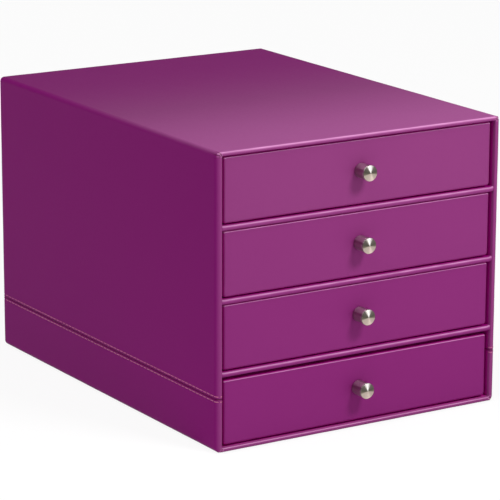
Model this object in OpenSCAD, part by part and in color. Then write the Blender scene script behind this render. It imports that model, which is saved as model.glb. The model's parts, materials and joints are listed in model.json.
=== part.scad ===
// Desktop chest of four shallow drawers, for paper, cards and craft parts.
// Thin rigid boards are glued up into a cabinet and four open trays, and leather is
// drawn over every edge that shows. Each drawer slides on the shelf under it and is
// pulled by a turned steel knob.
//
// Frame, in millimetres: the origin is the centre of the cabinet's footprint on the
// surface that it stands on. +Z is up, the drawers open towards -Y, and +X is to the
// right for someone who faces the knobs. Drawer 1 is the top one.

/* [Cabinet] */
// Outside width
cabinet_w = 268; // [220:1:340]
// Outside depth, from the tip of the front rim to the back
cabinet_d = 360; // [260:1:440]
// Outside height, from the surface it stands on
cabinet_h = 240; // [190:1:300]
// Thickness of a side wall with its leather and lining
side_t = 5; // [4:0.5:8]
// Thickness of the top, the bottom and each shelf, leather included
shelf_t = 3.4; // [3:0.2:6]
// Thickness of the back wall with its leather and lining
back_t = 4.5; // [4:0.5:8]
// Radius of the cabinet's outer edges
edge_r = 4; // [2:0.1:4]
// Radius of the front edges of the top and the bottom
cap_edge_r = 2; // [1:0.1:2]
// Radius of the front rim's inner edges and of the shelves' noses
rim_r = 1; // [1:0.1:1.4]
// How far each shelf's nose stands behind the front rim
shelf_recess = 0.8; // [0:0.1:2]
// Extra height of the lowest drawer's bay
lowest_bay_extra = 2.4; // [0:0.1:6]
// Thickness of the felt under the base
felt_t = 0.6; // [0.4:0.1:3]
// Distance from the cabinet's edges to the felt
felt_margin = 6; // [4:0.5:20]

/* [Leather] */
// Thickness of the leather, and of the lining glued level with it
leather_t = 0.7; // [0.5:0.05:1]
// Depth of leather turned into the cabinet behind the front rim
turn_in = 18; // [10:1:40]
// Height of the seam that joins the upper and the lower leather
seam_z = 44.2; // [25:0.1:90]
// Width of the groove where the two leathers meet
seam_gap = 0.8; // [0.4:0.1:1.5]
// Distance from the seam to each row of stitches
stitch_offset = 2.1; // [1.5:0.1:6]
// Distance from one stitch to the next
stitch_pitch = 5.5; // [4.75:0.25:8]
// Length of a stitch
stitch_l = 4.2; // [1.5:0.1:4.6]
// Height of a stitch on the wall
thread_w = 0.7; // [0.4:0.05:1.2]
// Depth to which the thread draws into the leather
thread_t = 0.35; // [0.2:0.05:0.4]

/* [Drawers] */
// Distance from the front rim's tip to a drawer's face
front_recess = 2.75; // [0:0.25:8]
// Thickness of a drawer front with its leather
front_t = 8; // [5:0.5:14]
// Radius of a drawer front's edges, seen from the side
front_edge_r = 2; // [1.5:0.25:4]
// Radius of a drawer front's corners, seen from the front
front_corner_r = 1.6; // [1:0.1:4]
// Gap at each side of a drawer front
front_side_gap = 2.8; // [0.6:0.1:4]
// Gap over a drawer front, to which the lowest bay adds its extra height
front_top_gap = 1.1; // [0.6:0.1:3]
// Gap under a drawer front
front_bottom_gap = 1.4; // [0.5:0.1:2]
// Gap at each side of a drawer's tray
tray_side_gap = 3.2; // [0.6:0.1:4]
// Gap over a drawer's tray
tray_top_gap = 4; // [1:0.5:15]
// Running clearance under a drawer's tray
run_gap = 0.4; // [0.3:0.05:1]
// Gap behind a closed drawer
back_gap = 0.5; // [0.3:0.1:5]
// Thickness of the tray's side and back boards
tray_wall_t = 3.5; // [2:0.5:6]
// Thickness of the tray's bottom board
tray_bottom_t = 2.5; // [2:0.5:6]
// Thickness of the lining inside the tray
tray_lining_t = 0.6; // [0.4:0.1:1.5]

/* [Knobs] */
// Diameter of the knob's head
knob_head_d = 12.7; // [10:0.1:20]
// Diameter of the knob's body
knob_body_d = 12; // [9:0.1:19]
// Distance that the knob stands out from the drawer's face
knob_l = 14; // [12:0.5:25]
// Thickness of the knob's head at its rim
knob_head_t = 1.7; // [1:0.1:3]
// Height of the turned cone on the knob's face
knob_cone_h = 0.7; // [0.2:0.1:1.5]
// Width of the groove behind the knob's head
knob_groove_w = 0.5; // [0.3:0.1:1]
// Depth of that groove under the body's surface
knob_groove_h = 0.5; // [0.2:0.1:1]
// Height of the knobs over the middle of their drawer fronts
knob_rise = 1.1; // [-8:0.1:8]

/* [Knob screws] */
// Diameter of the screw's shank
screw_d = 4; // [3:0.5:5]
// Depth to which the screw enters the knob
screw_grip = 6.6; // [5:0.1:8]
// Diameter of the screw's head
screw_head_d = 8; // [6:0.5:10]
// Height of the screw's head
screw_head_h = 2.6; // [2:0.1:3.5]
// Radial clearance of the shank in the drawer front and the washer
screw_hole_gap = 0.25; // [0.1:0.05:0.5]
// Radial clearance that stands for the thread in the knob
thread_gap = 0.05; // [0.02:0.01:0.1]
// Depth of the knob's bore past the screw's end
bore_extra = 1.5; // [0.5:0.1:2]
// Diameter of the washer
washer_d = 12; // [10.5:0.5:14]
// Thickness of the washer
washer_t = 0.8; // [0.5:0.1:1.5]

/* [Hidden] */
$fn = 48;
drawer_count = 4;
// Overshoot of cuts past the faces that they leave
cut_over = 1;

left_x = -cabinet_w / 2;
front_y = -cabinet_d / 2;
back_y = cabinet_d / 2;
// Underside of the leather, on top of the felt
base_z = felt_t;
// Clear space inside the cabinet's walls
cavity_half_w = cabinet_w / 2 - side_t;
cavity_back_y = back_y - back_t;
cavity_low_z = base_z + shelf_t;
cavity_high_z = cabinet_h - shelf_t;
// Clear height of a bay, without the lowest one's extra height
bay_h = (cavity_high_z - cavity_low_z - (drawer_count - 1) * shelf_t - lowest_bay_extra)
    / drawer_count;
bay_pitch = bay_h + shelf_t;

// A drawer's front
face_y = front_y + front_recess;
tray_front_y = face_y + front_t;
face_half_w = cavity_half_w - front_side_gap;
// A drawer's tray
tray_half_w = cavity_half_w - tray_side_gap;
tray_back_y = cavity_back_y - back_gap;
tray_inner_half_w = tray_half_w - tray_wall_t;
tray_inner_back_y = tray_back_y - tray_wall_t;
// The cross recess in a screw's head
recess_w = screw_head_d / 8;
recess_l = screw_head_d * 0.55;
recess_depth = screw_head_h * 0.55;

leather = "#832c6c";
leather_lower = "#7b2865";
board = "#b9a98c";
lining = "#4a2342";
felt = "#2b2530";
thread = "#c9698b";
steel = "#b5b2ad";
zinc = "#8f9499";

DRAWER_PIECES = ["front_board", "front_cover", "left_side", "right_side", "back",
    "bottom", "lining", "knob", "screw", "washer"];

// Floor of a drawer's bay, counted from the top
function bay_z(n) = cavity_low_z + (drawer_count - n) * bay_pitch
    + (n < drawer_count ? lowest_bay_extra : 0);
function face_low_z(n) = bay_z(n) + front_bottom_gap;
function face_high_z(n) = bay_z(n) + bay_h - front_top_gap;
function knob_z(n) = (face_low_z(n) + face_high_z(n)) / 2 + knob_rise;
function tray_low_z(n) = bay_z(n) + run_gap;
function tray_high_z(n) = bay_z(n) + bay_h - tray_top_gap;
function tray_floor_z(n) = tray_low_z(n) + tray_bottom_t;

// ---- Shapes that several pieces share ----

// A flat outline drawn out along an axis. Along X the outline is in Y and Z, and along Y
// it is in X and Z.
module along_x(from, to) {
    translate([from, 0, 0]) rotate([90, 0, 90]) linear_extrude(to - from) children();
}

module along_y(from, to) {
    translate([0, to, 0]) rotate([90, 0, 0]) linear_extrude(to - from) children();
}

module along_z(from, to) {
    translate([0, 0, from]) linear_extrude(to - from) children();
}

// Box between its low and its high corner
module block(low, high) {
    translate(low) cube(high - low);
}

// Rectangle with its own radius at each corner, in the order low-low, high-low,
// high-high, low-high
module rounded_rect(low, high, radii) {
    corners = [low, [high.x, low.y], high, [low.x, high.y]];
    inward = [[1, 1], [-1, 1], [-1, -1], [1, -1]];
    difference() {
        translate(low) square(high - low);
        for (i = [0:3]) if (radii[i] > 0)
            translate(corners[i]) to_quadrant(inward[i]) corner_waste(radii[i]);
    }
}

// Turns the first quadrant into the one that a pair of signs points at
module to_quadrant(signs) {
    mirror([signs.x < 0 ? 1 : 0, 0]) mirror([0, signs.y < 0 ? 1 : 0]) children();
}

// What a round corner at the origin takes off a sheet that fills the first quadrant
module corner_waste(r) {
    difference() {
        translate([-cut_over, -cut_over]) square(r + cut_over);
        translate([r, r]) circle(r);
    }
}

// Draws a left-hand piece on its side: -1 is left and 1 is right
module on_side(side) {
    mirror([side > 0 ? 1 : 0, 0, 0]) children();
}

// ---- Cabinet walls, all drawn a given inset inside their finished faces ----

// Plan of a side wall, with round outer corners
module side_plan(inset) {
    rounded_rect([left_x + inset, front_y + inset], [left_x + side_t - inset, back_y - inset],
        [edge_r - inset, rim_r - inset, 0, edge_r - inset]);
}

module side_wall(inset) {
    low_z = base_z + inset;
    high_z = cabinet_h - inset;
    front_r = cap_edge_r - inset;
    back_r = edge_r - inset;
    intersection() {
        along_z(low_z, high_z) side_plan(inset);
        along_x(left_x, left_x + side_t)
            rounded_rect([front_y + inset, low_z], [back_y - inset, high_z],
                [front_r, back_r, back_r, front_r]);
        along_y(front_y, back_y)
            rounded_rect([left_x + inset, low_z], [left_x + side_t, high_z], [back_r, 0, 0, back_r]);
    }
}

module top_wall(inset) {
    along_x(-cavity_half_w - inset, cavity_half_w + inset)
        rounded_rect([front_y + inset, cavity_high_z + inset], [back_y - inset, cabinet_h - inset],
            [rim_r - inset, 0, edge_r - inset, cap_edge_r - inset]);
}

module bottom_wall(inset) {
    along_x(-cavity_half_w - inset, cavity_half_w + inset)
        rounded_rect([front_y + inset, base_z + inset], [back_y - inset, cavity_low_z - inset],
            [cap_edge_r - inset, edge_r - inset, 0, rim_r - inset]);
}

// Shelf under drawer n, with a soft-edged nose and a square back
module shelf(n, inset) {
    nose_r = rim_r - inset;
    along_x(-cavity_half_w, cavity_half_w)
        rounded_rect([front_y + shelf_recess + inset, bay_z(n) - shelf_t + inset],
            [cavity_back_y, bay_z(n) - inset], [nose_r, 0, 0, nose_r]);
}

// The space between the boards' inner faces, from the turned-in leather's edge to a given depth
module inside_boards(deep_y) {
    block([-cavity_half_w - leather_t, front_y + turn_in, cavity_low_z - leather_t],
        [cavity_half_w + leather_t, deep_y, cavity_high_z + leather_t]);
}

module back_sheet() {
    block([left_x + edge_r, back_y - leather_t, base_z + edge_r],
        [-left_x - edge_r, back_y, cabinet_h - edge_r]);
}

// ---- The seam round both sides ----

// Strip of the leather's outer face from the back edge to inside the front nose
module seam_strip(low_z, high_z) {
    along_z(low_z, high_z) difference() {
        side_plan(0);
        side_plan(thread_t);
        translate([left_x + side_t / 2, front_y + side_t / 2])
            square([side_t, cabinet_d]);
        translate([left_x, back_y - edge_r]) square([side_t, edge_r]);
    }
}

module stitch_row(z) {
    seam_strip(z - thread_w / 2, z + thread_w / 2);
}

module seam_cuts() {
    for (side = [-1, 1]) on_side(side) {
        seam_strip(seam_z - seam_gap / 2, seam_z + seam_gap / 2);
        for (row = [-1, 1]) stitch_row(seam_z + row * stitch_offset);
    }
}

// Two rows of stitches, each laid in its own channel, with one long stitch round the nose
module seam_thread(side) {
    nose_y = front_y + edge_r;
    first_y = nose_y + stitch_pitch - stitch_l;
    last_y = back_y - edge_r - stitch_l;
    on_side(side) for (row = [-1, 1]) {
        z = seam_z + row * stitch_offset;
        for (y = [first_y:stitch_pitch:last_y])
            translate([left_x, y, z - thread_w / 2]) cube([thread_t, stitch_l, thread_w]);
        intersection() {
            stitch_row(z);
            block([left_x, front_y, z - thread_w],
                [left_x + side_t, nose_y, z + thread_w]);
        }
    }
}

// ---- Cabinet ----

module side_board(side) {
    color(board) on_side(side) side_wall(leather_t);
}

module top_board() {
    color(board) top_wall(leather_t);
}

module bottom_board() {
    color(board) bottom_wall(leather_t);
}

module back_board() {
    color(board)
        block([-cavity_half_w - leather_t, cavity_back_y + leather_t, cavity_low_z - leather_t],
            [cavity_half_w + leather_t, back_y - leather_t, cavity_high_z + leather_t]);
}

module shelf_board(n) {
    color(board) shelf(n, leather_t);
}

// Leather round a shelf's top, nose and underside
module shelf_cover(n) {
    color(leather) difference() {
        shelf(n, 0);
        shelf(n, leather_t);
    }
}

// Leather over the top and the sides down to the seam, drawn round the front rim
module upper_cover() {
    color(leather) difference() {
        union() {
            for (side = [-1, 1]) on_side(side) side_wall(0);
            top_wall(0);
        }
        for (side = [-1, 1]) on_side(side) side_wall(leather_t);
        top_wall(leather_t);
        inside_boards(back_y - leather_t);
        back_sheet();
        block([left_x - cut_over, front_y - cut_over, 0],
            [-left_x + cut_over, back_y + cut_over, seam_z]);
        seam_cuts();
    }
}

// Leather over the base and the sides up to the seam, drawn round the front rim
module lower_cover() {
    color(leather_lower) difference() {
        union() {
            for (side = [-1, 1]) on_side(side) side_wall(0);
            bottom_wall(0);
        }
        for (side = [-1, 1]) on_side(side) side_wall(leather_t);
        bottom_wall(leather_t);
        inside_boards(back_y - leather_t);
        back_sheet();
        block([left_x - cut_over, front_y - cut_over, seam_z],
            [-left_x + cut_over, back_y + cut_over, cabinet_h + cut_over]);
        seam_cuts();
    }
}

module back_cover() {
    color(leather) back_sheet();
}

// Lining of the walls, the floor, the ceiling and the back behind the turned-in leather
module cabinet_lining() {
    color(lining) difference() {
        inside_boards(cavity_back_y + leather_t);
        block([-cavity_half_w, front_y, cavity_low_z], [cavity_half_w, cavity_back_y, cavity_high_z]);
    }
}

module base_felt() {
    color(felt) block([left_x + felt_margin, front_y + felt_margin, 0],
        [-left_x - felt_margin, back_y - felt_margin, felt_t]);
}

// ---- Drawers ----

// A drawer's front, drawn a given inset inside its finished faces
module front_panel(n, inset) {
    low = [-face_half_w + inset, face_y + inset, face_low_z(n) + inset];
    high = [face_half_w - inset, tray_front_y, face_high_z(n) - inset];
    soft_r = front_edge_r - inset;
    corner_r = front_corner_r - inset;
    intersection() {
        along_z(low.z, high.z)
            rounded_rect([low.x, low.y], [high.x, high.y], [soft_r, soft_r, 0, 0]);
        along_x(low.x, high.x)
            rounded_rect([low.y, low.z], [high.y, high.z], [soft_r, 0, 0, soft_r]);
        along_y(low.y, high.y)
            rounded_rect([low.x, low.z], [high.x, high.z], [corner_r, corner_r, corner_r, corner_r]);
    }
}

// Something turned about the knob's axis, its +Z pointing out of the drawer's face
module on_knob_axis(n, y) {
    translate([0, y, knob_z(n)]) rotate([90, 0, 0]) children();
}

module screw_hole(n) {
    on_knob_axis(n, tray_front_y + tray_lining_t + cut_over)
        cylinder(r = screw_d / 2 + screw_hole_gap, h = front_t + tray_lining_t + 2 * cut_over);
}

module front_board(n) {
    color(board) difference() {
        front_panel(n, leather_t);
        screw_hole(n);
    }
}

// Leather over a drawer front's face and its four edges
module front_cover(n) {
    color(leather) difference() {
        front_panel(n, 0);
        front_panel(n, leather_t);
        screw_hole(n);
    }
}

module tray_side(n, side) {
    color(board) on_side(side)
        block([-tray_half_w, tray_front_y, tray_low_z(n)],
            [-tray_inner_half_w, tray_back_y, tray_high_z(n)]);
}

module tray_back(n) {
    color(board) block([-tray_inner_half_w, tray_inner_back_y, tray_low_z(n)],
        [tray_inner_half_w, tray_back_y, tray_high_z(n)]);
}

module tray_bottom(n) {
    color(board) block([-tray_inner_half_w, tray_front_y, tray_low_z(n)],
        [tray_inner_half_w, tray_inner_back_y, tray_floor_z(n)]);
}

// Lining of the tray's floor and four walls, open at the top
module tray_lining(n) {
    color(lining) difference() {
        block([-tray_inner_half_w, tray_front_y, tray_floor_z(n)],
            [tray_inner_half_w, tray_inner_back_y, tray_high_z(n)]);
        block([-tray_inner_half_w + tray_lining_t, tray_front_y + tray_lining_t,
                tray_floor_z(n) + tray_lining_t],
            [tray_inner_half_w - tray_lining_t, tray_inner_back_y - tray_lining_t,
                tray_high_z(n) + cut_over]);
        screw_hole(n);
    }
}

// Turned knob: a plain drum, a groove, and a wider head with a flat cone on its face
module knob(n) {
    body_r = knob_body_d / 2;
    head_r = knob_head_d / 2;
    groove_r = body_r - knob_groove_h;
    rim_l = knob_l - knob_cone_h;
    head_l = rim_l - knob_head_t;
    bore_r = screw_d / 2 + thread_gap;
    bore_l = screw_grip + bore_extra;
    color(steel) on_knob_axis(n, face_y) rotate_extrude() polygon([
        [bore_r, 0], [body_r, 0], [body_r, head_l - knob_groove_w], [groove_r, head_l - knob_groove_w],
        [groove_r, head_l], [head_r, head_l], [head_r, rim_l], [0, knob_l],
        [0, bore_l], [bore_r, bore_l]
    ]);
}

module washer(n) {
    color(zinc) on_knob_axis(n, tray_front_y + tray_lining_t + washer_t) difference() {
        cylinder(d = washer_d, h = washer_t);
        translate([0, 0, -cut_over])
            cylinder(r = screw_d / 2 + screw_hole_gap, h = washer_t + 2 * cut_over);
    }
}

// Pan-head screw put through the washer and the drawer front from inside
module screw(n) {
    shank_l = washer_t + tray_lining_t + front_t + screw_grip;
    color(zinc) on_knob_axis(n, tray_front_y + tray_lining_t + washer_t + screw_head_h)
        difference() {
            union() {
                cylinder(d = screw_head_d, h = screw_head_h);
                cylinder(d = screw_d, h = screw_head_h + shank_l);
            }
            for (turn = [0, 90]) rotate(turn)
                translate([-recess_l / 2, -recess_w / 2, -cut_over])
                    cube([recess_l, recess_w, recess_depth + cut_over]);
        }
}

// ---- The whole object ----

side_board(-1);  // left_side_board
side_board(1);  // right_side_board
top_board();
bottom_board();
back_board();
upper_cover();
lower_cover();
back_cover();
cabinet_lining();
base_felt();
color(thread) seam_thread(-1);  // left_seam_thread
color(thread) seam_thread(1);  // right_seam_thread
for (n = [1:drawer_count - 1]) {
    shelf_board(n);
    shelf_cover(n);
}
for (n = [1:drawer_count]) {
    front_board(n);
    front_cover(n);
    tray_side(n, -1);
    tray_side(n, 1);
    tray_back(n);
    tray_bottom(n);
    tray_lining(n);
    knob(n);
    screw(n);
    washer(n);
}
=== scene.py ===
"""Looks of a desktop chest with four drawers, covered in purple leather.

Lengths are in metres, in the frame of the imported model: the drawers open towards -Y, +Z is
up, and the chest stands on Z = 0. Drawer 1 is the top one.
"""

import json
import math

import bmesh
import bpy
import numpy as np
from mathutils import Matrix, Vector


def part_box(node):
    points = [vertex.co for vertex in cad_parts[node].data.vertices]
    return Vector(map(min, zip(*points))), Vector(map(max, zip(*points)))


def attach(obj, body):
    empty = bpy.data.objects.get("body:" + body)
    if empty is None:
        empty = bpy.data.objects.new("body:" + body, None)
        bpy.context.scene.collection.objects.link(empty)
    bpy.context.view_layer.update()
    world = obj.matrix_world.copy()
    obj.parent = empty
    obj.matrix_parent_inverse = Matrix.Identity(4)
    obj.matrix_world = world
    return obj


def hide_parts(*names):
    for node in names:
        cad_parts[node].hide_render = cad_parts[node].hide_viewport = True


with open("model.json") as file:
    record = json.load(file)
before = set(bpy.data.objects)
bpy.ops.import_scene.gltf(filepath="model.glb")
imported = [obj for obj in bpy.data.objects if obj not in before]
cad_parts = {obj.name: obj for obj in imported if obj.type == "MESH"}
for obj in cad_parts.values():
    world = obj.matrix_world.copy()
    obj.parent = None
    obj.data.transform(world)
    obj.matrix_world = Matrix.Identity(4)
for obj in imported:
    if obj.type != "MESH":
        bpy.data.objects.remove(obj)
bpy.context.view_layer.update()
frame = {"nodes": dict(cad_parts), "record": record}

MM = 0.001

# ---- Places and sizes that come from the frame ----

upper_low, upper_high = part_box("upper_cover")
LEFT, RIGHT = upper_low.x, upper_high.x
FRONT, BACK = upper_low.y, upper_high.y
SEAM, TOP = upper_low.z, upper_high.z
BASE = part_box("lower_cover")[0].z
INNER_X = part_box("shelf_1_cover")[1].x
LEATHER_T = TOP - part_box("top_board")[1].z
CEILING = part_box("top_board")[0].z - LEATHER_T
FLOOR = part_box("bottom_board")[1].z + LEATHER_T
SIDE_T = RIGHT - INNER_X
TURN_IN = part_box("cabinet_lining")[0].y - FRONT
DRAWERS = range(1, 5)
SHELVES = range(1, 4)

# ---- Sizes of the leather work ----

SKIN_T = 0.6 * MM            # leather, with room for the glue under it
BACK_SKIN_T = 0.4 * MM
EDGE_R = 4 * MM              # outer edges
CAP_EDGE_R = 2 * MM          # front edges of the top and the bottom
RIM_R = 0.9 * MM             # inner edges of the front rim
NOSE_R = 1.8 * MM            # edges of the shelves' noses
NOSE_PUFF_UP = 0.22 * MM     # how far the noses swell above their shelf, clear of the trays
NOSE_PUFF_DOWN = 0.5 * MM    # and below it
INNER_CORNER_R = 1.1 * MM    # corners of the opening
BACK_TURN = 9 * MM           # leather turned over onto the back
FOLD_REACH = 9 * MM          # how far from the opening's corners the creases end
SEAM_ROLL = 0.55 * MM        # how deep the hides' edges roll in at the seam
SEAM_ROLL_W = 0.75 * MM
SEAM_PUFF = 0.10 * MM        # how high they swell beside it
STITCH_PULL = 0.24 * MM      # how deep the stitches pull them down
STITCH_OFFSET = 2.1 * MM     # from the seam to each row of stitches
STITCH_PITCH = 5.46 * MM
STITCH_L = 5.0 * MM
THREAD_D = 0.72 * MM
FIRST_STITCH = 3.6 * MM      # from the rim's curve back to the middle of the first straight stitch
ROUND_STITCHES = 2           # stitches of each row that go round the rim
STITCH_LIFT = 0.10 * MM      # how far the middle of a stitch stands above the leather's own dip
STITCH_DIP = 0.22 * MM
FRONT_EDGE_R = 2.0 * MM      # depth of the drawer fronts' soft edges
# How wide those edges are at the sides, the bottom and the top, as shares of their depth
FRONT_EDGE_SHARES = (0.85, 1.1, 0.6)
# Corner radii of the drawer fronts: bottom left, bottom right, top right, top left
FRONT_CORNERS = [2.3 * MM, 2.3 * MM, 1.5 * MM, 1.5 * MM]
GLUE_TURN = 9 * MM           # leather turned over onto the back of a front's board
PANEL_JOIN = 6 * MM          # from a front's edge to the plain grid of its face

# Creases of the turned leather at each front corner. The key holds the signs of X and Z that
# point at the corner. Each crease has its angle round the opening's corner, from 0 towards the
# side to 90 towards the top or the bottom, its depth, its half width, and the side that puffs up.
FOLDS = {
    (-1, 1): [(52, 0.50 * MM, 0.42 * MM, -1), (16, 0.42 * MM, 0.42 * MM, 1), (-14, 0.16 * MM, 0.5 * MM, 1)],
    (1, 1): [(50, 0.46 * MM, 0.40 * MM, -1), (19, 0.50 * MM, 0.42 * MM, 1), (74, 0.12 * MM, 0.4 * MM, 1)],
    (-1, -1): [(86, 0.26 * MM, 0.34 * MM, 1), (64, 0.22 * MM, 0.36 * MM, -1), (30, 0.14 * MM, 0.5 * MM, 1)],
    (1, -1): [(44, 0.55 * MM, 0.42 * MM, 1), (12, 0.16 * MM, 0.45 * MM, -1)],
}
# How much painted light each drawer front gets, from the top down: the upper fronts are painted lighter, as
# if more lit
FRONT_PAINTED_LIGHT = [0.5, 0.38, 0.28, 0.22]
# Where the painted highlight line lies on each drawer front's top edge, in degrees up from facing forward
FRONT_HIGHLIGHT_LEANS = [16, 30, 30, 30]
# How far a shelf's leather puffs up where it meets the left and the right side
SHELF_FLARE = {-1: 0.35 * MM, 1: 0.75 * MM}

# ---- Sizes of the knobs and of the trays' linings ----

KNOB_CONE = 0.7 * MM         # height of the flat cone on the head's face
KNOB_HEAD_L = 1.7 * MM
KNOB_BODY_INSET = 0.35 * MM  # from the head's radius to the drum's
KNOB_GROOVE = 0.5 * MM       # depth and width of the groove behind the head
KNOB_SOFT = 0.22 * MM        # rounding of the head's edges
CLOTH_T = 0.6 * MM
CLOTH_FILLET = 1.3 * MM      # where the cloth turns from the floor to the walls
CLOTH_CORNER = 1.5 * MM
CLOTH_OVER = 0.45 * MM       # above the tops of the walls
CLOTH_DOWN = 9 * MM          # down the outside of the walls
CLOTH_JOIN = 8 * MM          # from a wall to the plain grid of the floor


# ---- Small tools ----

def ease(x):
    """Smooth step from 0 to 1 as x goes from 0 to 1."""
    x = np.clip(x, 0, 1)
    return x * x * (3 - 2 * x)


def bell(x, width):
    return np.exp(-((x / width) ** 2))


def ripple(points, wavelength, seed, waves=9):
    """Smooth waviness between about -1 and 1, the same at every run."""
    rng = np.random.default_rng(seed)
    directions = rng.normal(size=(waves, 3))
    directions /= np.linalg.norm(directions, axis=1)[:, None]
    stretch = rng.uniform(0.6, 1.7, waves)
    phases = rng.uniform(0, 2 * math.pi, waves)
    numbers = directions * (stretch * 2 * math.pi / wavelength)[:, None]
    return 1.6 * np.sin(points @ numbers.T + phases).mean(axis=1)


def spaced(total, head, head_step, middle_step, tail, tail_step):
    """Fractions of a length, with their own steps in a head, a middle and a tail."""
    cuts = [0, head, total - tail, total]
    parts = [
        np.linspace(a, b, max(1, round((b - a) / step)), endpoint=False)
        for a, b, step in zip(cuts, cuts[1:], (head_step, middle_step, tail_step))
        if b > a
    ]
    return np.append(np.concatenate(parts), total) / total


def grid_faces(rows, columns, closed=False, flip=False, start=0):
    """Quads of a grid of points stored row by row."""
    faces = []
    for r in range(rows - 1):
        for c in range(columns if closed else columns - 1):
            a = start + r * columns + c
            b = start + r * columns + (c + 1) % columns
            quad = (a, b, b + columns, a + columns)
            faces.append(quad[::-1] if flip else quad)
    return faces


def make_piece(name, points, faces, material, weld=False):
    """A smooth-shaded mesh object, its vertices welded where asked."""
    mesh = bpy.data.meshes.new(name)
    mesh.from_pydata(np.asarray(points).reshape(-1, 3).tolist(), [], faces)
    if weld:
        work = bmesh.new()
        work.from_mesh(mesh)
        bmesh.ops.remove_doubles(work, verts=work.verts, dist=0.004 * MM)
        work.to_mesh(mesh)
        work.free()
    mesh.polygons.foreach_set("use_smooth", [True] * len(mesh.polygons))
    mesh.materials.append(material)
    piece = bpy.data.objects.new(name, mesh)
    bpy.context.scene.collection.objects.link(piece)
    return piece


def read_points(mesh):
    """Places and normals of a mesh's vertices."""
    places = np.empty(len(mesh.vertices) * 3)
    mesh.vertices.foreach_get("co", places)
    normals = np.empty(len(mesh.vertices) * 3)
    mesh.vertex_normals.foreach_get("vector", normals)
    return places.reshape(-1, 3), normals.reshape(-1, 3)


def push(piece, height):
    """Moves each vertex along its normal by height(places, normals)."""
    mesh = piece.data
    places, normals = read_points(mesh)
    places += normals * height(places, normals)[:, None]
    mesh.vertices.foreach_set("co", places.ravel())
    mesh.update()


def paint(piece, name, values):
    """Keeps a number from 0 to 1 on each vertex, for the material to read."""
    layer = piece.data.attributes.new(name, "FLOAT", "POINT")
    layer.data.foreach_set("value", np.clip(values, 0, 1).astype(np.float32))


def thicken(piece, thickness):
    """Gives a sheet its thickness, inwards from the side that shows."""
    solid = piece.modifiers.new("thickness", "SOLIDIFY")
    solid.thickness = thickness
    solid.offset = -1
    solid.use_even_offset = False


def settle(piece, body, slot, *nodes):
    """Puts a finished piece on its body, in place of the CAD nodes that it stands for."""
    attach(piece, body)
    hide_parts(*nodes)


# ---- Materials ----

def new_material(name):
    """An empty material, its tree and its shader."""
    material = bpy.data.materials.new(name)
    material.use_nodes = True
    tree = material.node_tree
    return material, tree, tree.nodes["Principled BSDF"]


def node(tree, kind, settings=None, **inputs):
    """A node with its settings and inputs. An input is a value or another node's output."""
    made = tree.nodes.new("ShaderNode" + kind)
    for key, value in (settings or {}).items():
        setattr(made, key, value)
    for key, value in inputs.items():
        join(tree, made.inputs[key], value)
    return made


def join(tree, socket, value):
    if isinstance(value, bpy.types.NodeSocket):
        tree.links.new(value, socket)
    else:
        socket.default_value = value


def maths(tree, operation, *values):
    made = tree.nodes.new("ShaderNodeMath")
    made.operation = operation
    for socket, value in zip(made.inputs, values):
        join(tree, socket, value)
    return made.outputs[0]


def ramp(tree, factor, stops):
    """Colour ramp from (position, colour) stops, the colours in linear RGB."""
    made = tree.nodes.new("ShaderNodeValToRGB")
    made.color_ramp.elements.remove(made.color_ramp.elements[1])
    made.color_ramp.elements[0].position = stops[0][0]
    made.color_ramp.elements[0].color = (*stops[0][1], 1)
    for position, colour in stops[1:]:
        made.color_ramp.elements.new(position).color = (*colour, 1)
    tree.links.new(factor, made.inputs["Fac"])
    return made.outputs["Color"]


def blend(tree, factor, a, b):
    """Colour a changed towards colour b."""
    made = tree.nodes.new("ShaderNodeMix")
    made.data_type = "RGBA"
    join(tree, made.inputs[0], factor)
    join(tree, made.inputs[6], a)
    join(tree, made.inputs[7], b)
    return made.outputs[2]


def spread(tree, value, low, high):
    """A value from 0 to 1 spread over a range."""
    made = node(tree, "MapRange", Value=value)
    made.inputs["To Min"].default_value = low
    made.inputs["To Max"].default_value = high
    return made.outputs["Result"]


def spread_from(tree, value, low, high):
    """A value in a range brought to 0 to 1."""
    made = node(tree, "MapRange", Value=value)
    made.inputs["From Min"].default_value = low
    made.inputs["From Max"].default_value = high
    return made.outputs["Result"]


def noise(tree, place, size, detail=3.0, roughness=0.55):
    """Noise with features about a size wide."""
    made = node(tree, "TexNoise", Vector=place, Scale=1 / size, Detail=detail, Roughness=roughness)
    return made.outputs["Fac"]


def cells(tree, place, size, feature="SMOOTH_F1"):
    made = node(tree, "TexVoronoi", {"feature": feature}, Vector=place, Scale=1 / size)
    return made.outputs["Distance"]


def own_place(tree):
    """Place on the piece itself, which moves with it."""
    return node(tree, "TexCoord").outputs["Object"]


def attribute(tree, name):
    return node(tree, "Attribute", {"attribute_name": name}).outputs["Fac"]


def bump(tree, shader, height, distance, strength=1.0):
    made = node(tree, "Bump", Height=height, Distance=distance, Strength=strength)
    tree.links.new(made.outputs["Normal"], shader.inputs["Normal"])


def darker(colour, share):
    """A colour at a share of its brightness, with its opacity."""
    return (*[c * share for c in colour], 1)


# Painted light: the dye made lighter and paler where the lamps fall more strongly, from not at all to fully
PAINTED_LIGHT_RAMP = [(0, (0.168, 0.0015, 0.115)), (0.5, (0.204, 0.036, 0.146)), (1, (0.290, 0.068, 0.218))]
# Painted highlight on the edges that catch the light
HIGHLIGHT_DYE = (0.54, 0.235, 0.45)
# Painted shade: deeper, more saturated dye for the closed gaps
GAP_SHADE_DYE = (0.44, 0.0008, 0.25)
# Painted shade for the creases, the seam's groove and where pieces meet
CREASE_SHADE_DYE = (0.085, 0.0005, 0.03)
CLOSED_IN = 8 * MM    # how near other pieces have to be for the painted gap shade to show


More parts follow.
